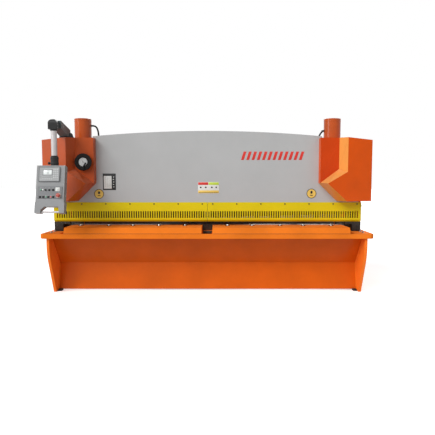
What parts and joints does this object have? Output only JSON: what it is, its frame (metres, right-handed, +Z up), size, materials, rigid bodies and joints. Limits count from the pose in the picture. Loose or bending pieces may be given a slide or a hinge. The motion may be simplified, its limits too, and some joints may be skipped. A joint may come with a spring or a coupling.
{
  "type": "hydraulic guillotine shear",
  "caption": "Hydraulic guillotine shear for sheet metal: slotted finger guard over a wide table, arched front beam, two cylinders and a swinging control console.",
  "frame": {"origin": "floor, centre of the machine's outline", "axes": "+X to the operator's right along the blades, +Y away from the operator, +Z up"},
  "size_m": [3.694, 2.0423, 1.983],
  "materials": {
    "frame_orange": "satin paint",
    "orange_paint": "satin paint",
    "table_orange": "satin paint, a little scuffed",
    "grey_paint": "satin paint",
    "yellow_paint": "satin paint",
    "tool_steel": "ground steel",
    "dark_steel": "blackened steel",
    "black_plastic": "moulded",
    "arm_grey": "fine texture paint",
    "bright_tube": "satin anodised",
    "console_grey": "fine texture paint",
    "dial_face": "satin",
    "rubber_hose": "smooth",
    "red_button": "gloss",
    "screen_plastic": "matte film"
  },
  "bodies": {
    "machine": {"left_side_frame": "frame_orange", "right_side_frame": "frame_orange", "bed_plate": "table_orange", "left_table_block": "table_orange", "right_table_block": "table_orange", "lower_blade": "tool_steel", "bed_beam": "frame_orange", "front_apron": "frame_orange", "left_apron_flange": "table_orange", "right_apron_flange": "table_orange", "left_end_guide": "dark_steel", "right_end_guide": "dark_steel", "front_beam": "grey_paint", "left_finger_guard": "yellow_paint", "right_finger_guard": "yellow_paint", "left_cylinder_cover": "orange_paint", "right_cylinder_cover": "orange_paint", "left_cover_lid": "orange_paint", "right_cover_lid": "orange_paint", "left_cylinder": "orange_paint", "right_cylinder": "orange_paint", "left_cylinder_mount": "frame_orange", "right_cylinder_mount": "frame_orange", "left_hose": "rubber_hose", "right_hose": "rubber_hose", "hold_down_beam": "dark_steel", "ram": "frame_orange", "upper_blade": "tool_steel", "rear_tie_beam": "frame_orange", "oil_tank": "grey_paint", "pump_motor": "frame_orange", "back_gauge_beam": "tool_steel", "left_gauge_arm": "dark_steel", "right_gauge_arm": "dark_steel", "gap_shaft": "tool_steel", "pendant_base": "black_plastic"},
    "pendant_arm": {"pendant_hub": "black_plastic", "pendant_arm": "arm_grey", "arm_elbow": "black_plastic", "drop_tube": "bright_tube"},
    "control_box": {"tube_swivel": "black_plastic", "control_box": "console_grey", "console_handle": "bright_tube", "numeric_controller": "screen_plastic", "button_panel": "arm_grey", "stop_button": "red_button"},
    "gap_wheel": {"gap_wheel": "black_plastic", "gap_dial": "dial_face", "gap_wheel_handle": "black_plastic"}
  },
  "joints": [
    {"name": "pendant_arm_swivel", "type": "hinge", "parent": "machine", "child": "pendant_arm", "pos_m": [-1.565, -0.525, 1.757], "axis": [0, 0, 1], "range_deg": [-60, 10]},
    {"name": "control_box_swivel", "type": "hinge", "parent": "pendant_arm", "child": "control_box", "pos_m": [-1.583, -0.88, 1.52], "axis": [0, 0, 1], "range_deg": [-30, 45]},
    {"name": "gap_wheel_spin", "type": "hinge", "parent": "machine", "child": "gap_wheel", "pos_m": [-1.37, -0.582, 1.476], "axis": [0, -1, 0], "continuous": true}
  ]
}
